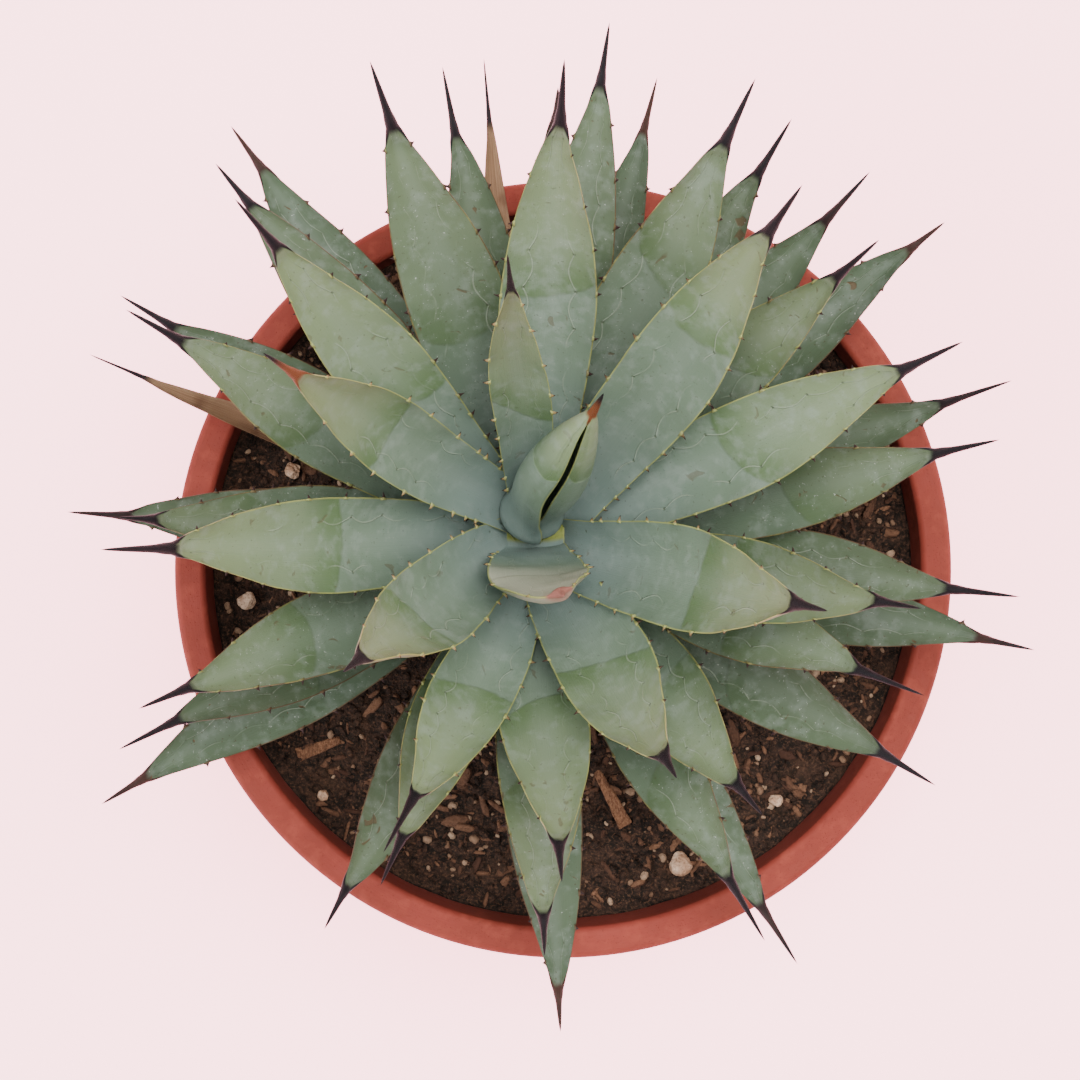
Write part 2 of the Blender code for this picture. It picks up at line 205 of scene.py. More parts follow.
def makeLeafPaint():
    look = leafPaint
    p = Paint("agaveLeaf", Specular_IOR_Level=0.20)
    across, along = p.parts("blade")[:2]
    age, seed, slant = p.parts("growth")
    point = p.place()
    side = abs(across)
    broad = p.grain(point, look["broadGrain"], 3.0)
    mottle = p.grain(point, look["mottleGrain"], 4.0)
    fine = p.grain(point, look["fineGrain"], 2.0)
    # the skin turns greener past a slanting line, where the next leaf pressed on it
    line = look["pressLine"] + seed * 0.22 + across * slant + side * side * 0.05 + (broad - 0.5) * 0.06
    past = along - line
    press = p.ease(past, -0.006, 0.006)
    inner = p.mix(p.ease(along, 0.06, 0.50), look["inner"], look["middle"])
    yellowing = press * (0.42 - age * 0.25) + p.ease(along, 0.55, 1.0) * (0.55 - age * 0.5)
    skin = p.mix(yellowing, inner, look["outer"])
    skin = p.mix(press * p.ease(past, 0.15, 0.0) * 0.70, skin, look["pressed"])
    tone = p.ease(age, 0.14, 0.80) * (0.60 + 0.42 * broad)
    skin = p.mix(tone, skin, look["oldLeaf"])
    bloomAndHighlight = p.ease(mottle + (broad - 0.5) * 0.5, 0.44, 0.74) * (0.26 - age * 0.06)
    skin = p.mix(bloomAndHighlight, skin, look["bloomAndHighlight"])
    # painted highlight: the middle of each leaf is painted paler, for light along its channel
    skin = p.mix(p.ease(side, 0.45, 0.05) * 0.10, skin, look["bloomAndHighlight"])
    # scalloped outlines of the neighbour's toothed edge
    wave = abs(p.node("Math", {"operation": "SINE"}, [along * look["scallops"] + seed * 9.0]))
    ghost = abs(side - 0.74 + along * 0.34 + wave * 0.15 + (fine - 0.5) * 0.02)
    ghost = p.ease(ghost, 0.026, 0.004) * p.ease(broad, 0.42, 0.56) * p.ease(along, 0.10, 0.2)
    hook = p.ease(wave, 0.16, 0.02) * p.ease(abs(side - 0.73 + along * 0.34), 0.050, 0.02)
    hook = hook * p.ease(broad, 0.42, 0.56)
    skin = p.mix(ghost * 0.42, skin, look["edgePrint"])
    skin = p.mix(hook * 0.70, skin, look["toothPrint"])
    # the third leaf is the palest, with a blush at its tip
    third = p.ease(abs(age - look["thirdAge"]), 0.012, 0.004) * (1.0 - p.ease(side, 1.0, 1.05))
    skin = p.mix(third * p.ease(along, 0.30, 0.62) * 0.80, skin, look["cream"])
    skin = p.mix(third * p.ease(along, 0.91, 0.98) * 0.75, skin, look["blush"])
    # lengthwise fibres
    threads = p.node("CombineXYZ", None, [across * look["fibres"], along * 4.0, seed * 7.0])
    fibre = p.grain(threads, 1.0, 3.0)
    skin = p.mix(p.ease(fibre, 0.35, 0.75) * 0.22, skin, look["fibre"])
    # brown scars, dark specks and pale dust, mostly on the older leaves
    scar = p.ease(p.grain(point, look["scarGrain"], 2.0, 0.5, 1.2), 0.700, 0.735) * (0.25 + age * 0.9)
    skin = p.mix(scar, skin, look["scar"])
    specks = p.ease(p.grain(point, look["speckGrain"], 1.0), 0.69, 0.76) * (0.25 + age * 0.6)
    skin = p.mix(specks, skin, look["speck"])
    dust = p.ease(p.grain(point, look["dustGrain"], 2.0), 0.665, 0.73)
    dust = dust * p.ease(age, 0.08, 0.5) * p.ease(mottle, 0.42, 0.6)
    skin = p.mix(dust * 0.7, skin, look["dust"])
    # seam at the crown, edge, teeth and spine
    skin = p.mix(p.ease(along, -0.012, -0.040) * p.ease(age, 0.35, 0.05) * 0.85, skin, look["seam"])
    rim = p.mix(p.ease(age + (mottle - 0.5) * 0.9, 0.14, 0.60), look["margin"], look["oldMargin"])
    skin = p.mix(p.ease(side, 0.950, 0.988) * 0.85, skin, rim)
    tooth = p.mix(p.ease(age, 0.04, 0.20), look["youngTooth"], look["tooth"])
    skin = p.mix(p.ease(side, 1.02, 1.12), skin, tooth)
    skin = p.mix(p.ease(side, 1.16, 1.40), skin, look["tooth"])
    reach = along + p.ease(side, 0.50, 1.0) * 0.030 + (mottle - 0.5) * 0.02
    thorn = p.ease(reach, 0.978, 1.0)
    horn = p.mix(p.ease(age + (broad - 0.5) * 0.6, 0.72, 1.0), look["spine"], look["oldSpine"])
    horn = p.mix(p.ease(fibre, 0.5, 0.8) * 0.4, horn, look["spineStreak"])
    horn = p.mix(p.ease(age, 0.055, 0.03) * p.ease(along, 1.8, 1.3), horn, look["budSpine"])
    horn = p.mix(third * 0.7, horn, look["blush"])
    skin = p.mix(thorn * p.ease(side, 1.3, 1.1), skin, horn)
    rough = look["roughness"] + (mottle - 0.5) * 0.2 - thorn * 0.08
    height = fibre * 0.5 + mottle * 0.7 + fine * 0.25 + ghost * 0.9 - hook * 0.8 + press * 0.8 - scar * 0.8
    return p.finish(skin, rough, height, depth=look["bumpDepth"], strength=0.8)


# Withered leaf: straw and brown fibres, a dark spine
dryPaint = {
    "straw": (0.407, 0.252, 0.148),
    "brown": (0.185, 0.096, 0.052),
    "stain": (0.104, 0.044, 0.026),
    "spine": (0.015, 0.010, 0.013),
    "fibres": 40.0,
    "broadGrain": 60.0,
    "roughness": 0.85,
    "bumpDepth": 0.0006,
}


def makeDryPaint():
    look = dryPaint
    p = Paint("witheredLeaf", Specular_IOR_Level=0.2)
    across, along = p.parts("blade")[:2]
    point = p.place()
    threads = p.node("CombineXYZ", None, [across * look["fibres"], along * 4.0, 0.0])
    fibre = p.grain(threads, 1.0, 4.0)
    broad = p.grain(point, look["broadGrain"], 3.0)
    skin = p.mix(p.ease(fibre, 0.3, 0.7), look["brown"], look["straw"])
    skin = p.mix(p.ease(broad, 0.5, 0.7) * 0.6, skin, look["stain"])
    thorn = p.ease(along, 0.96, 1.0)
    skin = p.mix(thorn, skin, look["spine"])
    return p.finish(skin, look["roughness"] - thorn * 0.35, fibre + broad, depth=look["bumpDepth"])


# Leaf form. Lengths in metres, angles in radians, shares of the blade's length or half width
leafForm = {
    "cadRings": 9,
    "cadRingPoints": 8,
    "stations": 46,
    "stationCrowding": 1.12,
    "spineStations": 9,
    "acrossPoints": 15,
    "baseShare": 0.66,
    "widest": 0.55,
    "thickness": 0.0022,
    "fullness": 0.26,
    "edgeThickness": 0.0006,
    "spineTip": 0.0001,
    "spineRound": 0.95,
    "spineNeck": 0.30,
    "bend": 0.46,
    "footBend": 0.22,
    "tipBend": 0.40,
    "heartBend": 0.22,
    "heartLeaves": 8,
    "twist": 0.16,
    "lean": 0.0016,
    "waves": 0.0008,
    "ripple": 0.0005,
    "sway": 0.0006,
    "sheath": 0.012,
    "sheathLean": 0.95,
    "sheathPull": 0.45,
    "sheathedLeaves": 14,
    "dryBend": 1.25,
    "dryThinning": 0.22,
    "dryCrumple": 0.0022,
    "thirdLeaf": 2,
    "thirdTwist": -0.42,
    "thirdPull": 0.75,
    "thirdWiden": 1.12,
    "thirdBend": 0.14,
    "thirdTipBend": 0.1,
}
toothForm = {
    "length": 0.0016,
    "width": 0.0009,
    "spacing": 0.0145,
    "first": (0.10, 0.16),
    "last": 0.95,
    "rise": 0.12,
    "leans": (0.9, 0.6, 0.3, -0.5),
    "leanShare": 0.6,
    "sides": 6,
    "rows": ((-0.35, 1.7, 0.60, 1.0), (0.05, 1.0, 0.5, 1.06),  # reach, spread, thickness and tone
             (0.45, 0.48, 0.32, 1.22), (0.8, 0.22, 0.2, 1.4)),
}


def cadRings(mesh, form):  # the CAD solid's rings from the stem outwards, and the spine's tip
    count = form["cadRingPoints"]
    spots = {tuple(round(number, 6) for number in vertex.co) for vertex in mesh.vertices}
    spots = [Vector(spot) for spot in spots]
    tip = max(spots, key=lambda spot: (spot - crown).length)
    foot = min(spots, key=lambda spot: (spot - crown).length)
    for _ in range(2):
        way = (tip - foot).normalized()
        spots.sort(key=lambda spot: (spot - foot).dot(way))
        foot = sum(spots[:count], Vector()) / count
    return [spots[i * count:(i + 1) * count] for i in range(form["cadRings"])], tip


def smoothCurve(keys, values, at):  # a smooth curve through values given at rising keys
    last = len(keys) - 1
    i = 0
    while i < last - 1 and at > keys[i + 1]:
        i += 1
    span = keys[i + 1] - keys[i]
    t = (at - keys[i]) / span
    before = values[max(i - 1, 0)]
    after = values[min(i + 2, last)]
    startSlope = (values[i + 1] - before) / (keys[i + 1] - keys[max(i - 1, 0)]) * span
    endSlope = (after - values[i]) / (keys[min(i + 2, last)] - keys[i]) * span
    t2, t3 = t * t, t * t * t
    return (values[i] * (2 * t3 - 3 * t2 + 1) + startSlope * (t3 - 2 * t2 + t)
            + values[i + 1] * (3 * t2 - 2 * t3) + endSlope * (t3 - t2))


def smoothStep(value, low, high):
    t = min(max((value - low) / (high - low), 0.0), 1.0)
    return t * t * (3 - 2 * t)


def readLeaf(name):  # the line, directions and width of a leaf's CAD solid
    rings, tip = cadRings(nodes[name].data, leafForm)
    middles, sides, widths = [], [], []
    for ring in rings:
        pairs = [(a, b) for a in ring for b in ring]
        left, right = max(pairs, key=lambda pair: (pair[0] - pair[1]).length)
        side = (right - left).normalized()
        outward = Vector((left.x - crown.x, left.y - crown.y, 0.0))
        if sides:
            if side.dot(sides[-1]) < 0:
                side = -side
        elif side.cross(outward).z < 0:
            side = -side
        middles.append((left + right) / 2)
        sides.append(side)
        widths.append((right - left).length / 2)
    return middles, sides, widths, tip


def skinRings(faces, rings, tip):  # faces between rings, a cap on the first and a point past the last
    for (a, count), (b, _) in zip(rings, rings[1:]):
        for i in range(count):
            j = (i + 1) % count
            faces.append((a + i, a + j, b + j, b + i))
    last, count = rings[-1]
    for i in range(count):
        faces.append((last + i, last + (i + 1) % count, tip))
    first, count = rings[0]
    faces.append(tuple(range(first + count - 1, first - 1, -1)))


def leafLine(name):  # a leaf's line, and how far along it each ring is
    middles, sides, widths, tip = readLeaf(name)
    keys = [0.0]
    for a, b in zip(middles, middles[1:]):
        keys.append(keys[-1] + (b - a).length)
    length = keys[-1]
    spineLength = (tip - middles[-1]).length
    keys.append(length + spineLength)
    return middles + [tip], sides + [sides[-1]], widths, keys, length, spineLength


def leafFrame(keys, line, sides, run):  # the place and directions at a distance along a leaf
    step = 0.001
    centre = smoothCurve(keys, line, run)
    ahead = smoothCurve(keys, line, min(run + step, keys[-1] - tiny))
    behind = smoothCurve(keys, line, max(run - step, 0.0))
    ahead = (ahead - behind).normalized()
    side = smoothCurve(keys, sides, run)
    side = (side - ahead * side.dot(ahead)).normalized()
    above = side.cross(ahead)
    return centre, ahead, side, above if above.z > 0 else -above


def leafRuns(length, spineLength, form):
    count, spine = form["stations"], form["spineStations"]
    runs = [length * (1 - (1 - i / count) ** form["stationCrowding"]) for i in range(count)]
    return runs + [length + spineLength * i / spine for i in range(spine)]


def leafHalf(s, t, halfWidth, endHalf, third, form):  # half the width, s along the blade or t along the spine
    if t > 0:
        neck = 1 - form["spineNeck"] * smoothStep(t, 0.0, 0.30)
        return endHalf * (1 - t) ** 0.75 * neck + form["spineTip"]
    widest = form["widest"]
    if s < widest:
        share = form["baseShare"] + (1 - form["baseShare"]) * math.sin(math.pi / 2 * s / widest) ** 1.2
    else:
        share = 1 - ((s - widest) / (1 - widest)) ** 1.75 * (1 - endHalf / halfWidth)
    half = halfWidth * share
    return half * form["thirdWiden"] if third else half


def leafBend(s, order, third, dry, form):  # the curve across the leaf, from its middle to an edge
    if dry:
        return form["dryBend"]
    if third:
        return form["thirdBend"] + form["thirdTipBend"] * smoothStep(s, 0.8, 1.0)
    bend = form["bend"] + form["footBend"] * (1 - s) + form["tipBend"] * smoothStep(s, 0.70, 1.0)
    if order < form["heartLeaves"]:
        bend += form["heartBend"] * (1 - order / form["heartLeaves"])
    return bend


def makeLeaf(name, order, count, material, form, dry=False):
    line, sides, widths, keys, length, spineLength = leafLine(name)
    dice = random.Random(order * 7 + 3)
    age = order / (count - 1)
    seed = dice.random()
    halfWidth = max(widths)
    endHalf = widths[-1]
    twist = dice.uniform(-form["twist"], form["twist"])
    lean = dice.uniform(-form["lean"], form["lean"])
    phase = dice.uniform(0.0, 6.0)
    third = order == form["thirdLeaf"]
    pull = form["thirdPull"] if third else form["sheathPull"]
    if third:
        twist = form["thirdTwist"]
    runs = leafRuns(length, spineLength, form)
    if order < form["sheathedLeaves"]:
        runs = [-form["sheath"], -form["sheath"] * 0.5] + runs
    across = form["acrossPoints"]
    shares = [math.sin(math.pi / 2 * (2 * i / (across - 1) - 1)) for i in range(across)]
    points, faces, blade, rings, margins = [], [], [], [], []
    for run in runs:
        s = min(max(run, 0.0) / length, 1.0)
        t = max(run - length, 0.0) / spineLength
        centre, ahead, side, above = leafFrame(keys, line, sides, max(run, 0.0))
        if run < 0:
            inward = Vector((crown.x - centre.x, crown.y - centre.y, 0.0)).normalized()
            centre = centre + ahead * (run * (form["sheathLean"] - pull)) + inward * (-run * pull)
        settle = smoothStep(s, 0.0, 0.5) if third else smoothStep(s, 0.2, 1.0)
        spin = Matrix.Rotation(twist * settle, 3, ahead)
        side, above = spin @ side, spin @ above
        half = leafHalf(s, t, halfWidth, endHalf, third, form)
        bend = leafBend(s, order, third, dry, form)
        radius = half / bend
        thorn = smoothStep(run, length * 0.955, length * 1.01)
        flat = 1 - smoothStep(s, 0.94, 1.0)
        thinning = form["dryThinning"] if dry else 1.0
        thick = (form["thickness"] + form["fullness"] * half) * (1.15 - 0.35 * s) * thinning
        top = []
        for a in shares:
            angle = a * bend
            x = radius * math.sin(angle)
            z = radius * (1 - math.cos(angle)) - radius * (1 - math.cos(bend)) * 0.6
            z += form["waves"] * noise.noise(Vector((a * 1.3, s * 6, seed * 50))) * flat
            z += form["ripple"] * abs(a) ** 3 * math.sin(run * 260 + phase + a) * flat
            x += (lean * math.sin(s * math.pi) + form["sway"] * math.sin(s * 9 + phase)) * flat
            x = x * (1 - thorn) + half * a * thorn
            z = z * (1 - thorn) + half * form["spineRound"] * math.sqrt(max(1 - a * a, 0.0)) * thorn
            top.append((x, z, a))
        ring = [(x, z, a, 1.0) for x, z, a in top]
        for x, z, a in reversed(top):
            depth = (thick * (1 - abs(a) ** 2.2) + form["edgeThickness"]) * (1 - thorn)
            low = -half * form["spineRound"] * math.sqrt(max(1 - a * a, 0.0))
            ring.append((x, (z - depth) * (1 - thorn) + low * thorn, a, 0.0))
        start = len(points)
        if dry:
            centre = centre + above * (form["dryCrumple"] * noise.noise(Vector((s * 5, seed * 30, 1.5))))
        for x, z, a, up in ring:
            points.append(centre + side * x + above * z)
            blade.append((a, s + t + min(run, 0.0) / length, up))
        rings.append((start, len(ring)))
        if t == 0 and run >= 0:
            left, right = points[start], points[start + across - 1]
            margins.append((run, s, left.copy(), right.copy(), side.copy(), above.copy(), ahead.copy()))
    points.append(line[-1])
    blade.append((0.0, 2.0, 1.0))
    skinRings(faces, rings, len(points) - 1)
    if not dry:
        addTeeth(points, faces, blade, margins, length, dice, toothForm)
    growth = [(age, seed, dice.uniform(-0.07, 0.07))] * len(points)
    addPiece(name + "_blade", points, faces, material, name, {"blade": blade, "growth": growth})


# The innermost leaf, still rolled up, open along a slit
budForm = {
    "points": 56,
    "opening": 0.30,
    "overlap": 0.70,
    "seamAngle": 0.20,
    "seamTurn": 0.16,
    "seamWander": 0.06,
    "fullness": 1.03,
    "flatness": 0.92,
    "tuck": 0.20,
    "lip": 0.10,
    "flap": 0.0016,
    "footRadius": 0.0118,
    "footDepth": 0.014,
    "footShift": (0.0010, 0.0026),
}


def makeBud(name, material, form):
    line, sides, widths, keys, length, spineLength = leafLine(name)
    points, faces, blade, rings = [], [], [], []
    count, foot = form["points"], form["footRadius"]
    depth = form["footDepth"]
    shift = Vector((*form["footShift"], 0.0))
    for run in [-depth, -depth * 0.5] + leafRuns(length, spineLength, leafForm):
        s = min(max(run, 0.0) / length, 1.0)
        t = max(run - length, 0.0) / spineLength
        centre, _, side, above = leafFrame(keys, line, sides, max(run, 0.0))
        if side.x < 0:
            side = -side
        centre = centre + shift * (1 - smoothStep(s, 0.0, 0.75)) - Vector((0.0, 0.0, max(-run, 0.0)))
        half = smoothCurve(keys[:-1], widths, min(max(run, 0.0), length - tiny))
        half += (foot - half) * (1 - smoothStep(s, 0.0, 0.22)) * (half < foot)
        if t > 0:
            half = widths[-1] * (1 - t) ** 0.75 + leafForm["spineTip"]
        parted = form["opening"] * smoothStep(s, 0.05, 0.55) * (1 - smoothStep(s, 0.88, 1.0))
        lapped = form["overlap"] * (1 - smoothStep(s, 0.0, 0.22))
        seam = form["seamAngle"] + form["seamTurn"] * (1 - s) + form["seamWander"] * math.sin(s * 11)
        first = seam - parted * 0.5 + lapped * 0.5
        sweep = 2 * math.pi - parted + lapped
        tuck = form["tuck"] * (1 - smoothStep(s, 0.90, 1.0))
        outer = []
        for i in range(count):
            share = i / (count - 1)
            reach = half * (form["fullness"] - tuck * smoothStep(share, 0.62, 1.0))
            lip = half * form["lip"] * smoothStep(share, 0.10, 0.0) * smoothStep(s, 0.0, 0.2)
            reach += lip * (1 - smoothStep(s, 0.85, 1.0))
            outer.append((first - sweep * share, reach, share))
        ring = [(turn, reach, share, 1.0) for turn, reach, share in outer]
        thick = min(form["flap"], half * 0.30)
        for turn, reach, share in reversed(outer):
            edge = smoothStep(share, 0.0, 0.06) * smoothStep(share, 1.0, 0.94)
            ring.append((turn, reach - thick * (0.35 + 0.65 * edge), share, 0.0))
        start = len(points)
        for turn, reach, share, up in ring:
            out = side * (math.sin(turn) * reach)
            points.append(centre + out + above * (math.cos(turn) * reach * form["flatness"]))
            rim = 1.0 - 0.9 * smoothStep(min(share, 1 - share), 0.0, 0.10)
            blade.append((rim * 0.99, s + t, up))
        rings.append((start, len(ring)))
    points.append(line[-1])
    blade.append((0.0, 2.0, 1.0))
    skinRings(faces, rings, len(points) - 1)
    growth = [(0.0, 0.7, 0.0)] * len(points)
    addPiece(name + "_blade", points, faces, material, name, {"blade": blade, "growth": growth})


def addTeeth(points, faces, blade, margins, length, dice, form):
    rows, sides = form["rows"], form["sides"]
    for hand in (0, 1):
        run = length * dice.uniform(*form["first"])
        while run < length * form["last"]:
            i = min(range(len(margins)), key=lambda k: abs(margins[k][0] - run))
            _, s, left, right, side, above, ahead = margins[i]
            root = right if hand else left
            out = side if hand else -side
            grow = 0.75 + 0.5 * math.sin(math.pi * min(s * 1.1, 1.0))
            size = form["length"] * dice.uniform(0.75, 1.2) * grow
            wide = form["width"] * dice.uniform(0.85, 1.2)
            lean = dice.choice(form["leans"]) * form["leanShare"]
            start = len(points)
            for reach, spread, thick, tone in rows:
                forward = ahead * (size * lean * max(reach, 0.0) ** 2)
                middle = root + out * (size * reach) + forward + above * (size * form["rise"] * reach)
                for k in range(sides):
                    turn = 2 * math.pi * k / sides
                    forward = ahead * (wide * spread * math.cos(turn))
                    points.append(middle + forward + above * (wide * thick * math.sin(turn)))
                    blade.append((tone, min(s, 0.9), 1.0))
            points.append(root + out * size + ahead * (size * lean) + above * (size * form["rise"]))
            blade.append((1.5, min(s, 0.9), 1.0))
            sheets = []
            for row in range(len(rows) - 1):
                a, b = start + row * sides, start + (row + 1) * sides
                for k in range(sides):
                    j = (k + 1) % sides
                    sheets.append((a + k, a + j, b + j, b + k))
            end = start + (len(rows) - 1) * sides
            for k in range(sides):
                sheets.append((end + k, end + (k + 1) % sides, len(points) - 1))
            sheets.append(tuple(range(start + sides - 1, start - 1, -1)))
            faces.extend(sheet if hand else sheet[::-1] for sheet in sheets)
            gap = form["spacing"] * (0.45 + 0.85 * smoothStep(s, 0.0, 0.5))
            run += gap * dice.uniform(0.75, 1.25)


leafMaterial = makeLeafPaint()
dryMaterial = makeDryPaint()
total = len(leafNames) + len(dryNames)
makeBud(leafNames[0], leafMaterial, budForm)
for order, name in enumerate(leafNames[1:], 1):
    makeLeaf(name, order, total, leafMaterial, leafForm)
for order, name in enumerate(dryNames):
    makeLeaf(name, len(leafNames) + order, total, dryMaterial, leafForm, dry=True)
print("leaves made:", total)


# Bowl: fired clay, turned. Lengths in metres, the sharp angle in degrees
bowlForm = {
    "steps": 168,
    "wall": 0.009,
    "wallStations": 20,
    "rimWidth": 0.012,
    "rimInnerRound": 0.0026,
    "rimOuterRound": 0.0030,
    "rimFlat": 0.0055,
    "bandHeight": 0.026,
    "bandRound": 0.0018,
    "shoulderInset": 0.0035,
    "bulge": 0.85,
    "footRadius": 0.095,
    "floor": 0.012,
    "floorRound": 0.004,
    "drainRadius": 0.007,
    "drainReach": 0.045,
    "drainDepth": 0.048,
    "drainSides": 40,
    "drains": 3,
    "sharpAngle": 40,
}
clayPaint = {
    "deep": (0.161, 0.023, 0.013),
    "clay": (0.215, 0.032, 0.021),
    "light": (0.287, 0.058, 0.038),
    "pore": (0.122, 0.023, 0.014),
    # painted shade for the inner wall, partly damp clay
    "dampAndShade": (0.114, 0.032, 0.020),
    "turning": 900.0,
    "broadGrain": 22.0,
    "mottleGrain": 160.0,
    "poreGrain": 1500.0,
    "roughness": 0.78,
    "bumpDepth": 0.0003,
}


def makeClayPaint():
    look = clayPaint
    p = Paint("firedClay", Specular_IOR_Level=0.3)
    point = p.place()
    x, y, z = p.split(point)
    level = p.node("CombineXYZ", None, [x, y, 0.0])
    radius = p.node("VectorMath", {"operation": "LENGTH"}, [level], out="Value")
    turned = p.node("CombineXYZ", None, [radius * look["turning"], z * look["turning"], 0.0])
    rings = p.grain(turned, 1.0, 2.0)
    broad = p.grain(point, look["broadGrain"], 4.0)
    mottle = p.grain(point, look["mottleGrain"], 4.0)
    pores = p.grain(point, look["poreGrain"], 2.0)
    skin = p.mix(p.ease(broad, 0.30, 0.70), look["deep"], look["clay"])
    skin = p.mix(p.ease(mottle, 0.45, 0.75) * 0.45, skin, look["light"])
    skin = p.mix((rings - 0.4) * 0.35, skin, look["deep"])
    skin = p.mix(p.ease(pores, 0.66, 0.72) * 0.5, skin, look["pore"])
    # painted shade: the inner wall below the rim is painted darker, partly as damp clay
    inside = p.ease(radius, 0.1385, 0.1370) * p.ease(z, 0.127, 0.122)
    skin = p.mix(inside * 0.35, skin, look["dampAndShade"])
    rough = look["roughness"] + (mottle - 0.5) * 0.25
    height = rings * 0.6 + mottle * 0.5 - p.ease(pores, 0.62, 0.72) * 0.8
    return p.finish(skin, rough, height, depth=look["bumpDepth"], strength=0.8)


def bowlOuter(z, form):  # the outside's radius at a height below the rim's band
    bandFoot = bowlHigh.z - form["bandHeight"]
    share = min(max(z / bandFoot, 0.0), 1.0)
    shoulder = bowlHigh.x - form["shoulderInset"]
    foot = form["footRadius"]
    return foot + (shoulder - foot) * math.sin(math.pi / 2 * share) ** form["bulge"]


def quarterTurn(steps):  # how far across and along a rounded corner is, step by step
    turns = [math.pi / 2 * i / steps for i in range(steps + 1)]
    return [(1 - math.cos(turn), 1 - math.sin(turn)) for turn in turns]


def bowlProfile(form):  # radius and height, from the inside's middle over the rim to the foot
    outer, top = bowlHigh.x, bowlHigh.z
    inner = outer - form["rimWidth"]
    floor, rise = form["floor"], form["floorRound"]
    bandFoot = top - form["bandHeight"]
    profile = [(0.0, floor), (bowlOuter(floor, form) - form["wall"] - 0.010, floor)]
    stations = form["wallStations"]
    for i in range(stations - 1):
        z = floor + rise + (bandFoot - floor - rise) * i / (stations - 2)
        profile.append((min(bowlOuter(z, form) - form["wall"], inner), z))
    profile.append((inner, top - 0.008))
    bend = form["rimInnerRound"]
    profile += [(inner + bend * near, top - bend * far) for near, far in quarterTurn(8)]
    profile.append((outer - form["rimFlat"], top - 0.0001))
    bend = form["rimOuterRound"]
    profile += [(outer - bend * far, top - bend * near) for near, far in quarterTurn(8)]
    profile.append((outer, bandFoot + 0.003))
    bend = form["bandRound"]
    profile += [(outer - bend * near, bandFoot + bend * far) for near, far in quarterTurn(4)]
    for i in range(stations + 1):
        z = (bandFoot - 0.0006) * (1 - i / stations)
        profile.append((bowlOuter(z, form), z))
    return profile + [(form["footRadius"] - 0.004, 0.0), (0.0, 0.0)]


def makeBowl(form, material):
    profile = bowlProfile(form)
    mesh = bpy.data.meshes.new("bowl_clay")
    mesh.from_pydata([(r, 0.0, z) for r, z in profile], [(i, i + 1) for i in range(len(profile) - 1)], [])
    bowl = bpy.data.objects.new("bowl_clay", mesh)
    bpy.context.scene.collection.objects.link(bowl)
    screw = bowl.modifiers.new("turn", "SCREW")
    screw.steps = screw.render_steps = form["steps"]
    screw.use_merge_vertices = True
    screw.merge_threshold = tiny
    drills = []
    for i in range(form["drains"]):
        turn = 2 * math.pi * (i + 0.25) / form["drains"]
        spot = (form["drainReach"] * math.cos(turn), form["drainReach"] * math.sin(turn), 0.0)
        bpy.ops.mesh.primitive_cylinder_add(vertices=form["drainSides"], radius=form["drainRadius"],
                                            depth=form["drainDepth"], location=spot)
        drills.append(bpy.context.object)
        bowl.modifiers.new("drain", "BOOLEAN").object = drills[-1]
    view = bpy.context.evaluated_depsgraph_get()
    bowl.data = bpy.data.meshes.new_from_object(bowl.evaluated_get(view))
    bowl.modifiers.clear()
    for drill in drills:
        bpy.data.objects.remove(drill)
    bowl.data.materials.clear()
    bowl.data.materials.append(material)
    bowl.data.shade_smooth()
    bowl.data.set_sharp_from_angle(angle=math.radians(form["sharpAngle"]))
    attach(bowl, "root")
    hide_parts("bowl")


makeBowl(bowlForm, makeClayPaint())
print("bowl made")


# Potting mix: a rough surface with bark shreds, grit and pale grains
mixForm = {
    "rings": 110,
    "spokes": 260,
    "overlap": 0.0009,
    "unevenness": ((0.0022, 60, 3.0), (0.0010, 260, 9.0), (0.0007, 520, 5.0)),  # height, scale and layer
    "depths": (0.004, 0.012, 0.03, 0.05, 0.07, 0.085, 0.094),
    "shreds": 1700,
    "shredLengths": (0.0025, 0.003, 0.004, 0.005, 0.006, 0.009),
    "lumps": 2600,
    "lumpLength": (0.0022, 0.0052),
    "grains": 900,
    "grainLengths": (0.0012, 0.0015, 0.002, 0.003),
    "crumbSides": 6,
    "crumbRows": ((-0.5, 0.35), (-0.3, 0.9), (0.05, 1.0), (0.35, 0.8), (0.5, 0.3)),
    "seed": 11,
}
mixPaint = {
    "dark": (0.007, 0.004, 0.002),
    "brown": (0.033, 0.016, 0.010),
    "tawny": (0.096, 0.046, 0.025),
    "bark": (0.052, 0.022, 0.013),
    "paleBark": (0.185, 0.089, 0.049),
    "grain": (0.148, 0.074, 0.041),
    "paleGrain": (0.355, 0.237, 0.155),
    "broadGrain": 55.0,
    "lumpGrain": 330.0,
    "crumbGrain": 900.0,
    "bumpDepth": 0.0016,
}


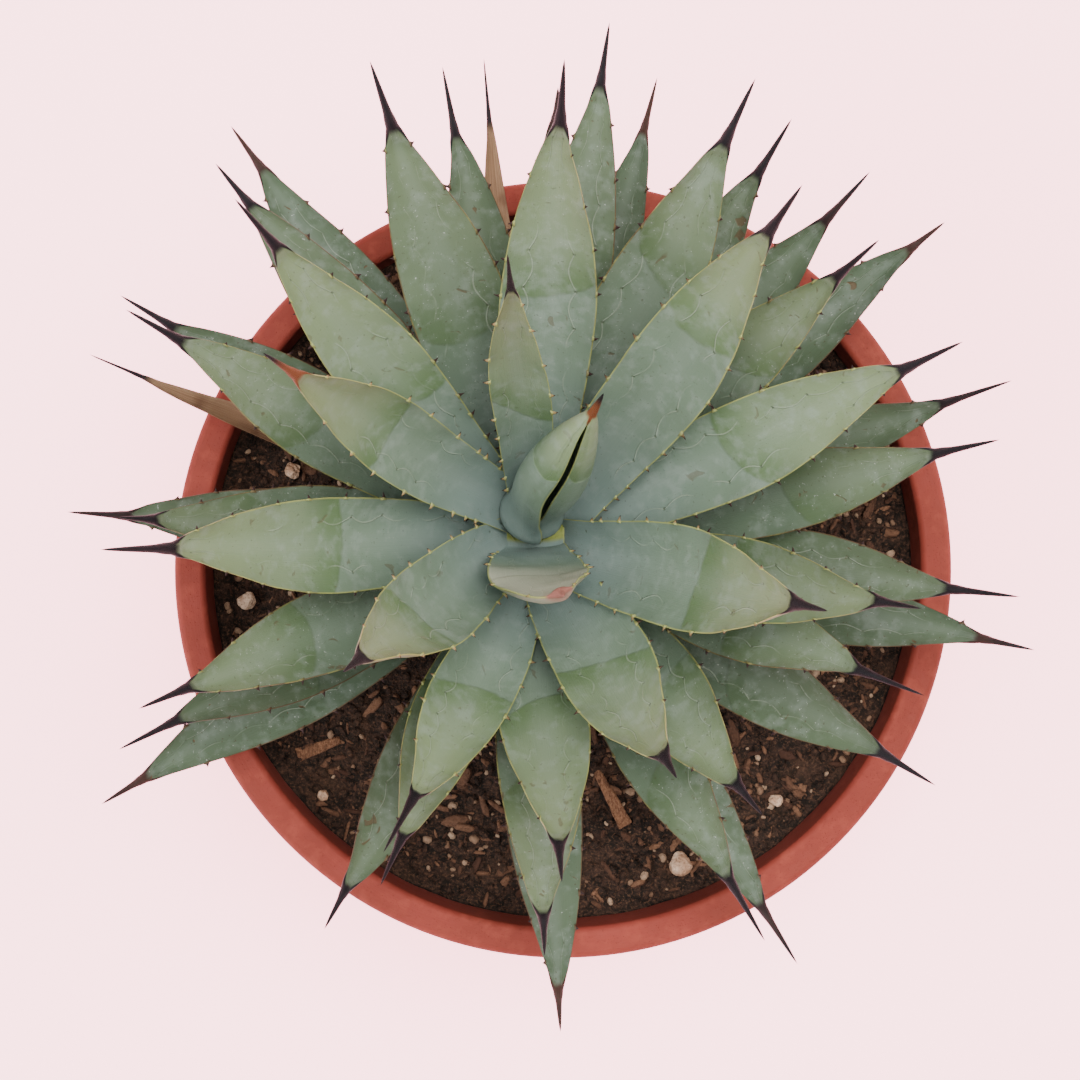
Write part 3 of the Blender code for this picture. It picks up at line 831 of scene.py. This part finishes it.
def makeMixPaint():
    look = mixPaint
    p = Paint("pottingMix", Specular_IOR_Level=0.25)
    tone, kind = p.parts("crumb")[:2]
    point = p.place()
    broad = p.grain(point, look["broadGrain"], 4.0)
    lumps = p.grain(point, look["lumpGrain"], 4.0, 0.65)
    crumbs = p.grain(point, look["crumbGrain"], 3.0, 0.7)
    soil = p.mix(p.ease(lumps, 0.40, 0.58), look["dark"], look["brown"])
    soil = p.mix(p.ease(crumbs, 0.52, 0.66) * 0.75, soil, look["tawny"])
    soil = p.mix(p.ease(crumbs, 0.47, 0.36) * 0.8, soil, look["dark"])
    soil = p.mix(p.ease(broad, 0.50, 0.70) * 0.25, soil, look["tawny"])
    bark = p.mix(tone, look["bark"], look["paleBark"])
    bark = p.mix(p.ease(crumbs, 0.45, 0.75) * 0.5, bark, look["dark"])
    pale = p.mix(tone, look["grain"], look["paleGrain"])
    pale = p.mix(p.ease(crumbs, 0.5, 0.7) * 0.4, pale, look["bark"])
    skin = p.mix(p.ease(kind, 0.2, 0.3), soil, bark)
    skin = p.mix(p.ease(kind, 0.7, 0.8), skin, pale)
    return p.finish(skin, 0.9 - crumbs * 0.1, lumps + crumbs * 0.6 + broad, depth=look["bumpDepth"])


def mixHeight(x, y):
    swell, lump, fine = [height * noise.noise(Vector((x * scale, y * scale, layer)))
                         for height, scale, layer in mixForm["unevenness"]]
    return soilHigh.z + swell + (lump + fine)


def ringSpots(radius, count):  # places round a circle
    turns = [2 * math.pi * k / count for k in range(count)]
    return [(radius * math.cos(turn), radius * math.sin(turn)) for turn in turns]


def joinRings(faces, a, b, count):  # faces between two rings that start at a and b
    for k in range(count):
        j = (k + 1) % count
        faces.append((a + k, b + k, b + j, a + j))


def anySpot(dice, radius, spread):  # a place on the mix, and how far out it is
    r = radius * math.sqrt(dice.uniform(0.02, spread))
    turn = dice.uniform(0, 2 * math.pi)
    return r, r * math.cos(turn), r * math.sin(turn)


def addCrumb(points, faces, stored, spot, size, lift, turn, tilt, dice, tone, kind):
    rows, sides = mixForm["crumbRows"], mixForm["crumbSides"]
    x, y = spot
    at = Vector((x, y, mixHeight(x, y) + size[2] * lift))
    spin = Matrix.Rotation(turn, 3, "Z") @ Matrix.Rotation(tilt, 3, "Y")
    spin = spin @ Matrix.Rotation(dice.uniform(-0.5, 0.5), 3, "X")
    start = len(points)
    for along, girth in rows:
        for k in range(sides):
            around = 2 * math.pi * k / sides
            rough = dice.uniform(0.72, 1.2)
            local = Vector((size[0] * (along + dice.uniform(-0.04, 0.04)),
                            size[1] * 0.5 * girth * math.cos(around) * rough,
                            size[2] * 0.5 * girth * math.sin(around) * rough))
            points.append(at + spin @ local)
            stored.append((tone, kind, 0.0))
    for row in range(len(rows) - 1):
        joinRings(faces, start + row * sides, start + (row + 1) * sides, sides)
    faces.append(tuple(range(start, start + sides)))
    end = start + (len(rows) - 1) * sides
    faces.append(tuple(range(end + sides - 1, end - 1, -1)))


def makeMix(form, material):
    dice = random.Random(form["seed"])
    radius = soilHigh.x + form["overlap"]
    rings, spokes = form["rings"], form["spokes"]
    points, faces = [Vector((0.0, 0.0, mixHeight(0.0, 0.0)))], []
    for i in range(1, rings + 1):
        for x, y in ringSpots(radius * i / rings, spokes):
            points.append(Vector((x, y, mixHeight(x, y))))
    for k in range(spokes):
        faces.append((0, 1 + k, 1 + (k + 1) % spokes))
    for i in range(rings - 1):
        joinRings(faces, 1 + i * spokes, 1 + (i + 1) * spokes, spokes)
    previous = 1 + (rings - 1) * spokes
    depths = [*form["depths"], soilHigh.z - soilLow.z]
    for depth in depths:  # down the inside of the bowl
        z = soilHigh.z - depth
        r = min(soilHigh.x - 0.0004, bowlOuter(z, bowlForm) - bowlForm["wall"] - 0.0012)
        if depth == depths[-1]:
            r -= 0.002
        start = len(points)
        points += [Vector((x, y, z)) for x, y in ringSpots(r, spokes)]
        joinRings(faces, previous, start, spokes)
        previous = start
    faces.append(tuple(range(previous + spokes - 1, previous - 1, -1)))
    stored = [(0.5, 0.0, 0.0)] * len(points)  # a crumb's tone, and its kind: 0 mix, 0.5 bark, 1 pale
    for _ in range(form["shreds"]):
        r, x, y = anySpot(dice, radius, 0.95)
        long = dice.choice(form["shredLengths"]) * dice.uniform(0.8, 1.3)
        size = (long, long * dice.uniform(0.2, 0.5), long * dice.uniform(0.12, 0.3))
        if r + long / 2 > radius:
            continue
        turn, tilt = dice.uniform(0, math.pi), dice.uniform(-0.45, 0.45)
        addCrumb(points, faces, stored, (x, y), size, 0.3, turn, tilt, dice, dice.random() ** 1.4, 0.5)
    for _ in range(form["lumps"]):
        _, x, y = anySpot(dice, radius - 0.003, 1.0)
        long = dice.uniform(*form["lumpLength"])
        size = (long, long * dice.uniform(0.6, 1.0), long * dice.uniform(0.45, 0.8))
        turn, tilt = dice.uniform(0, math.pi), dice.uniform(-0.5, 0.5)
        addCrumb(points, faces, stored, (x, y), size, 0.1, turn, tilt, dice, 0.5, 0.0)
    for _ in range(form["grains"]):
        _, x, y = anySpot(dice, radius, 0.96)
        long = dice.choice(form["grainLengths"]) * dice.uniform(0.8, 1.3)
        size = (long, long * dice.uniform(0.7, 1.0), long * dice.uniform(0.6, 0.9))
        turn = dice.uniform(0, math.pi)
        addCrumb(points, faces, stored, (x, y), size, 0.3, turn, 0.0, dice, dice.random(), 1.0)
    addPiece("potting_mix", points, faces, material, "soil", {"crumb": stored})


makeMix(mixForm, makeMixPaint())
print("potting mix made")


# Loose pebbles and bark on the mix, and the hidden stem
pumicePaint = {
    "shade": (0.334, 0.190, 0.114),
    "pale": (0.562, 0.395, 0.281),
    "pit": (0.167, 0.084, 0.053),
    "broadGrain": 240.0,
    "pits": 900.0,
    "roughness": 0.85,
    "bumpDepth": 0.0006,
}
barkPaint = {
    "dark": (0.068, 0.029, 0.015),
    "light": (0.258, 0.122, 0.065),
    "stain": (0.046, 0.020, 0.012),
    "broadGrain": 120.0,
    "fibres": 700.0,
    "roughness": 0.85,
    "bumpDepth": 0.0007,
}
stemPaint = {
    "scar": (0.16, 0.17, 0.06),
    "skin": (0.34, 0.36, 0.16),
    "scars": 160.0,
    "roughness": 0.7,
    "bumpDepth": 0.0008,
}
pebbleForm = {
    "seed": 40,
    "breaks": 9,
    "breakDepth": (0.66, 0.86),
    "lumps": (0.05, 2.3),  # height and scale
    "pits": (0.03, 8.0),
    "sink": 0.0004,
    "fineness": 5,
}
chipForm = {
    "cuts": (3, 1),
    "merge": 0.000002,
    "roughness": 0.0005,
    "scale": 420,
    "inward": 0.2,
}


def makePumicePaint():
    look = pumicePaint
    p = Paint("pumice", Specular_IOR_Level=0.2)
    point = p.place()
    broad = p.grain(point, look["broadGrain"], 3.0)
    pits = p.node("TexVoronoi", None, {"Vector": point, "Scale": look["pits"]}, out="Distance")
    skin = p.mix(p.ease(broad, 0.3, 0.7), look["shade"], look["pale"])
    skin = p.mix(p.ease(pits, 0.35, 0.1) * 0.5, skin, look["pit"])
    return p.finish(skin, look["roughness"] + broad * 0.1, pits + broad, depth=look["bumpDepth"])


def makeBarkPaint():
    look = barkPaint
    p = Paint("bark", Specular_IOR_Level=0.2)
    point = p.place()
    broad = p.grain(point, look["broadGrain"], 3.0)
    fibre = p.grain(p.stretch(point, (2.2, 1.0, 1.0)), look["fibres"], 4.0, 0.7, 0.6)
    skin = p.mix(p.ease(fibre, 0.3, 0.7), look["dark"], look["light"])
    skin = p.mix(p.ease(broad, 0.5, 0.7) * 0.4, skin, look["stain"])
    return p.finish(skin, look["roughness"] + broad * 0.1, fibre + broad * 0.5, depth=look["bumpDepth"])


def makeStemPaint():
    look = stemPaint
    p = Paint("stemSkin", Specular_IOR_Level=0.3)
    scars = p.grain(p.stretch(p.place(), (1.0, 1.0, 4.0)), look["scars"], 4.0)
    skin = p.mix(p.ease(scars, 0.35, 0.65), look["scar"], look["skin"])
    return p.finish(skin, look["roughness"] + scars * 0.2, scars, depth=look["bumpDepth"])


def makePebble(name, material, seed, form):
    low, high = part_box(name)
    middle = (low + high) / 2
    size = (high - low) / 2
    dice = random.Random(seed + form["seed"])
    cuts = []
    for _ in range(form["breaks"]):
        way = Vector((dice.uniform(-1, 1), dice.uniform(-1, 1), dice.uniform(-0.3, 1))).normalized()
        cuts.append((way, dice.uniform(*form["breakDepth"])))
    ball = bmesh.new()
    bmesh.ops.create_icosphere(ball, subdivisions=form["fineness"], radius=1.0)
    for vertex in ball.verts:
        way = vertex.co.normalized()
        reach = 1.0
        for face, depth in cuts:
            facing = way.dot(face)
            if facing * reach > depth:
                reach = depth / facing
        height, scale = form["lumps"]
        reach += height * noise.noise(way * scale + Vector((seed * 9, 0, 0)))
        height, scale = form["pits"]
        reach += height * noise.noise(way * scale + Vector((0, seed * 5, 0)))
        rise = way.z * size.z * reach - form["sink"]
        vertex.co = middle + Vector((way.x * size.x * reach, way.y * size.y * reach, rise))
    mesh = bpy.data.meshes.new(name + "_stone")
    ball.to_mesh(mesh)
    ball.free()
    placePiece(name + "_stone", mesh, material, name)


def makeChip(name, material, seed, form):
    work = bmesh.new()
    work.from_mesh(nodes[name].data)
    bmesh.ops.remove_doubles(work, verts=work.verts[:], dist=form["merge"])
    for cuts in form["cuts"]:
        bmesh.ops.subdivide_edges(work, edges=work.edges[:], cuts=cuts, use_grid_fill=True)
    work.normal_update()
    for vertex in work.verts:
        rough = noise.noise(vertex.co * form["scale"] + Vector((seed, 0, 0)))
        vertex.co += vertex.normal * form["roughness"] * (rough - form["inward"])
    mesh = bpy.data.meshes.new(name + "_bark")
    work.to_mesh(mesh)
    work.free()
    placePiece(name + "_bark", mesh, material, name)


pumice = makePumicePaint()
bark = makeBarkPaint()
for seed, name in enumerate(pebbleNames):
    makePebble(name, pumice, seed, pebbleForm)
for seed, name in enumerate(chipNames):
    makeChip(name, bark, seed, chipForm)
stem = nodes["stem"]
stem.data.materials.clear()
stem.data.materials.append(makeStemPaint())
print("loose pieces made")


# Floor, light and camera
studio = {
    "floor": (0.90, 0.72, 0.75),
    "floorTint": (0.90, 0.77, 0.79),
    "floorGlow": (1.0, 0.33, 0.40),
    "glowStrength": 4.2,
    "floorSize": 60.0,
    "floorGap": 0.0002,
    "lights": {
        "key": {"at": (1.35, 0.30, 1.35), "size": 1.5, "power": 25.0, "colour": (1.0, 0.97, 0.95)},
        "top": {"at": (0.15, 0.25, 1.70), "size": 0.9, "power": 42.0, "colour": (1.0, 0.99, 0.97)},
        "fill": {"at": (-1.4, -0.5, 1.3), "size": 1.6, "power": 46.0, "colour": (0.95, 0.97, 1.0)},
    },
    "lightAim": (0.0, 0.0, 0.1),
    "world": (0.97, 0.95, 0.94),
    "worldStrength": 0.48,
    "cameraAt": (-0.022, 0.022, 0.996),
    "cameraAim": (-0.0093, 0.0118, 0.130),
    "lens": 75.0,
    "sensor": 36.0,
}


def makeFloor(look):
    glow = {"Emission_Color": (*look["floorGlow"], 1), "Emission_Strength": look["glowStrength"]}
    p = Paint("paperFloor", Specular_IOR_Level=0.15, **glow)
    faint = p.grain(p.place(), 3.0, 2.0)
    p.finish(p.mix(faint * 0.25, look["floor"], look["floorTint"]), 0.9 + faint * 0.02)
    spot = (0.0, 0.0, bowlLow.z - look["floorGap"])
    bpy.ops.mesh.primitive_plane_add(size=look["floorSize"], location=spot)
    floor = bpy.context.object
    floor.name = "floor"
    floor.data.materials.append(p.material)


def addLight(name, look, aim):
    data = bpy.data.lights.new(name, "AREA")
    data.shape = "RECTANGLE"
    data.size = data.size_y = look["size"]
    data.energy = look["power"]
    data.color = look["colour"]
    light = bpy.data.objects.new(name, data)
    light.location = look["at"]
    light.rotation_euler = (Vector(aim) - Vector(look["at"])).to_track_quat("-Z", "Y").to_euler()
    bpy.context.scene.collection.objects.link(light)


def addCamera(look):
    data = bpy.data.cameras.new("camera")
    data.lens = look["lens"]
    data.sensor_width = look["sensor"]
    camera = bpy.data.objects.new("camera", data)
    at, aim = Vector(look["cameraAt"]), Vector(look["cameraAim"])
    back = (at - aim).normalized()
    right = Vector((0.0, 1.0, 0.0)).cross(back).normalized()
    up = back.cross(right)
    turn = Matrix((right, up, back)).transposed().to_4x4()
    camera.matrix_world = Matrix.Translation(at) @ turn
    bpy.context.scene.collection.objects.link(camera)
    bpy.context.scene.camera = camera


makeFloor(studio)
for name, look in studio["lights"].items():
    addLight(name, look, studio["lightAim"])
world = bpy.data.worlds.new("studio")
bpy.context.scene.world = world
world.use_nodes = True
sky = world.node_tree.nodes["Background"]
sky.inputs["Color"].default_value = (*studio["world"], 1)
sky.inputs["Strength"].default_value = studio["worldStrength"]
addCamera(studio)
print("studio made")
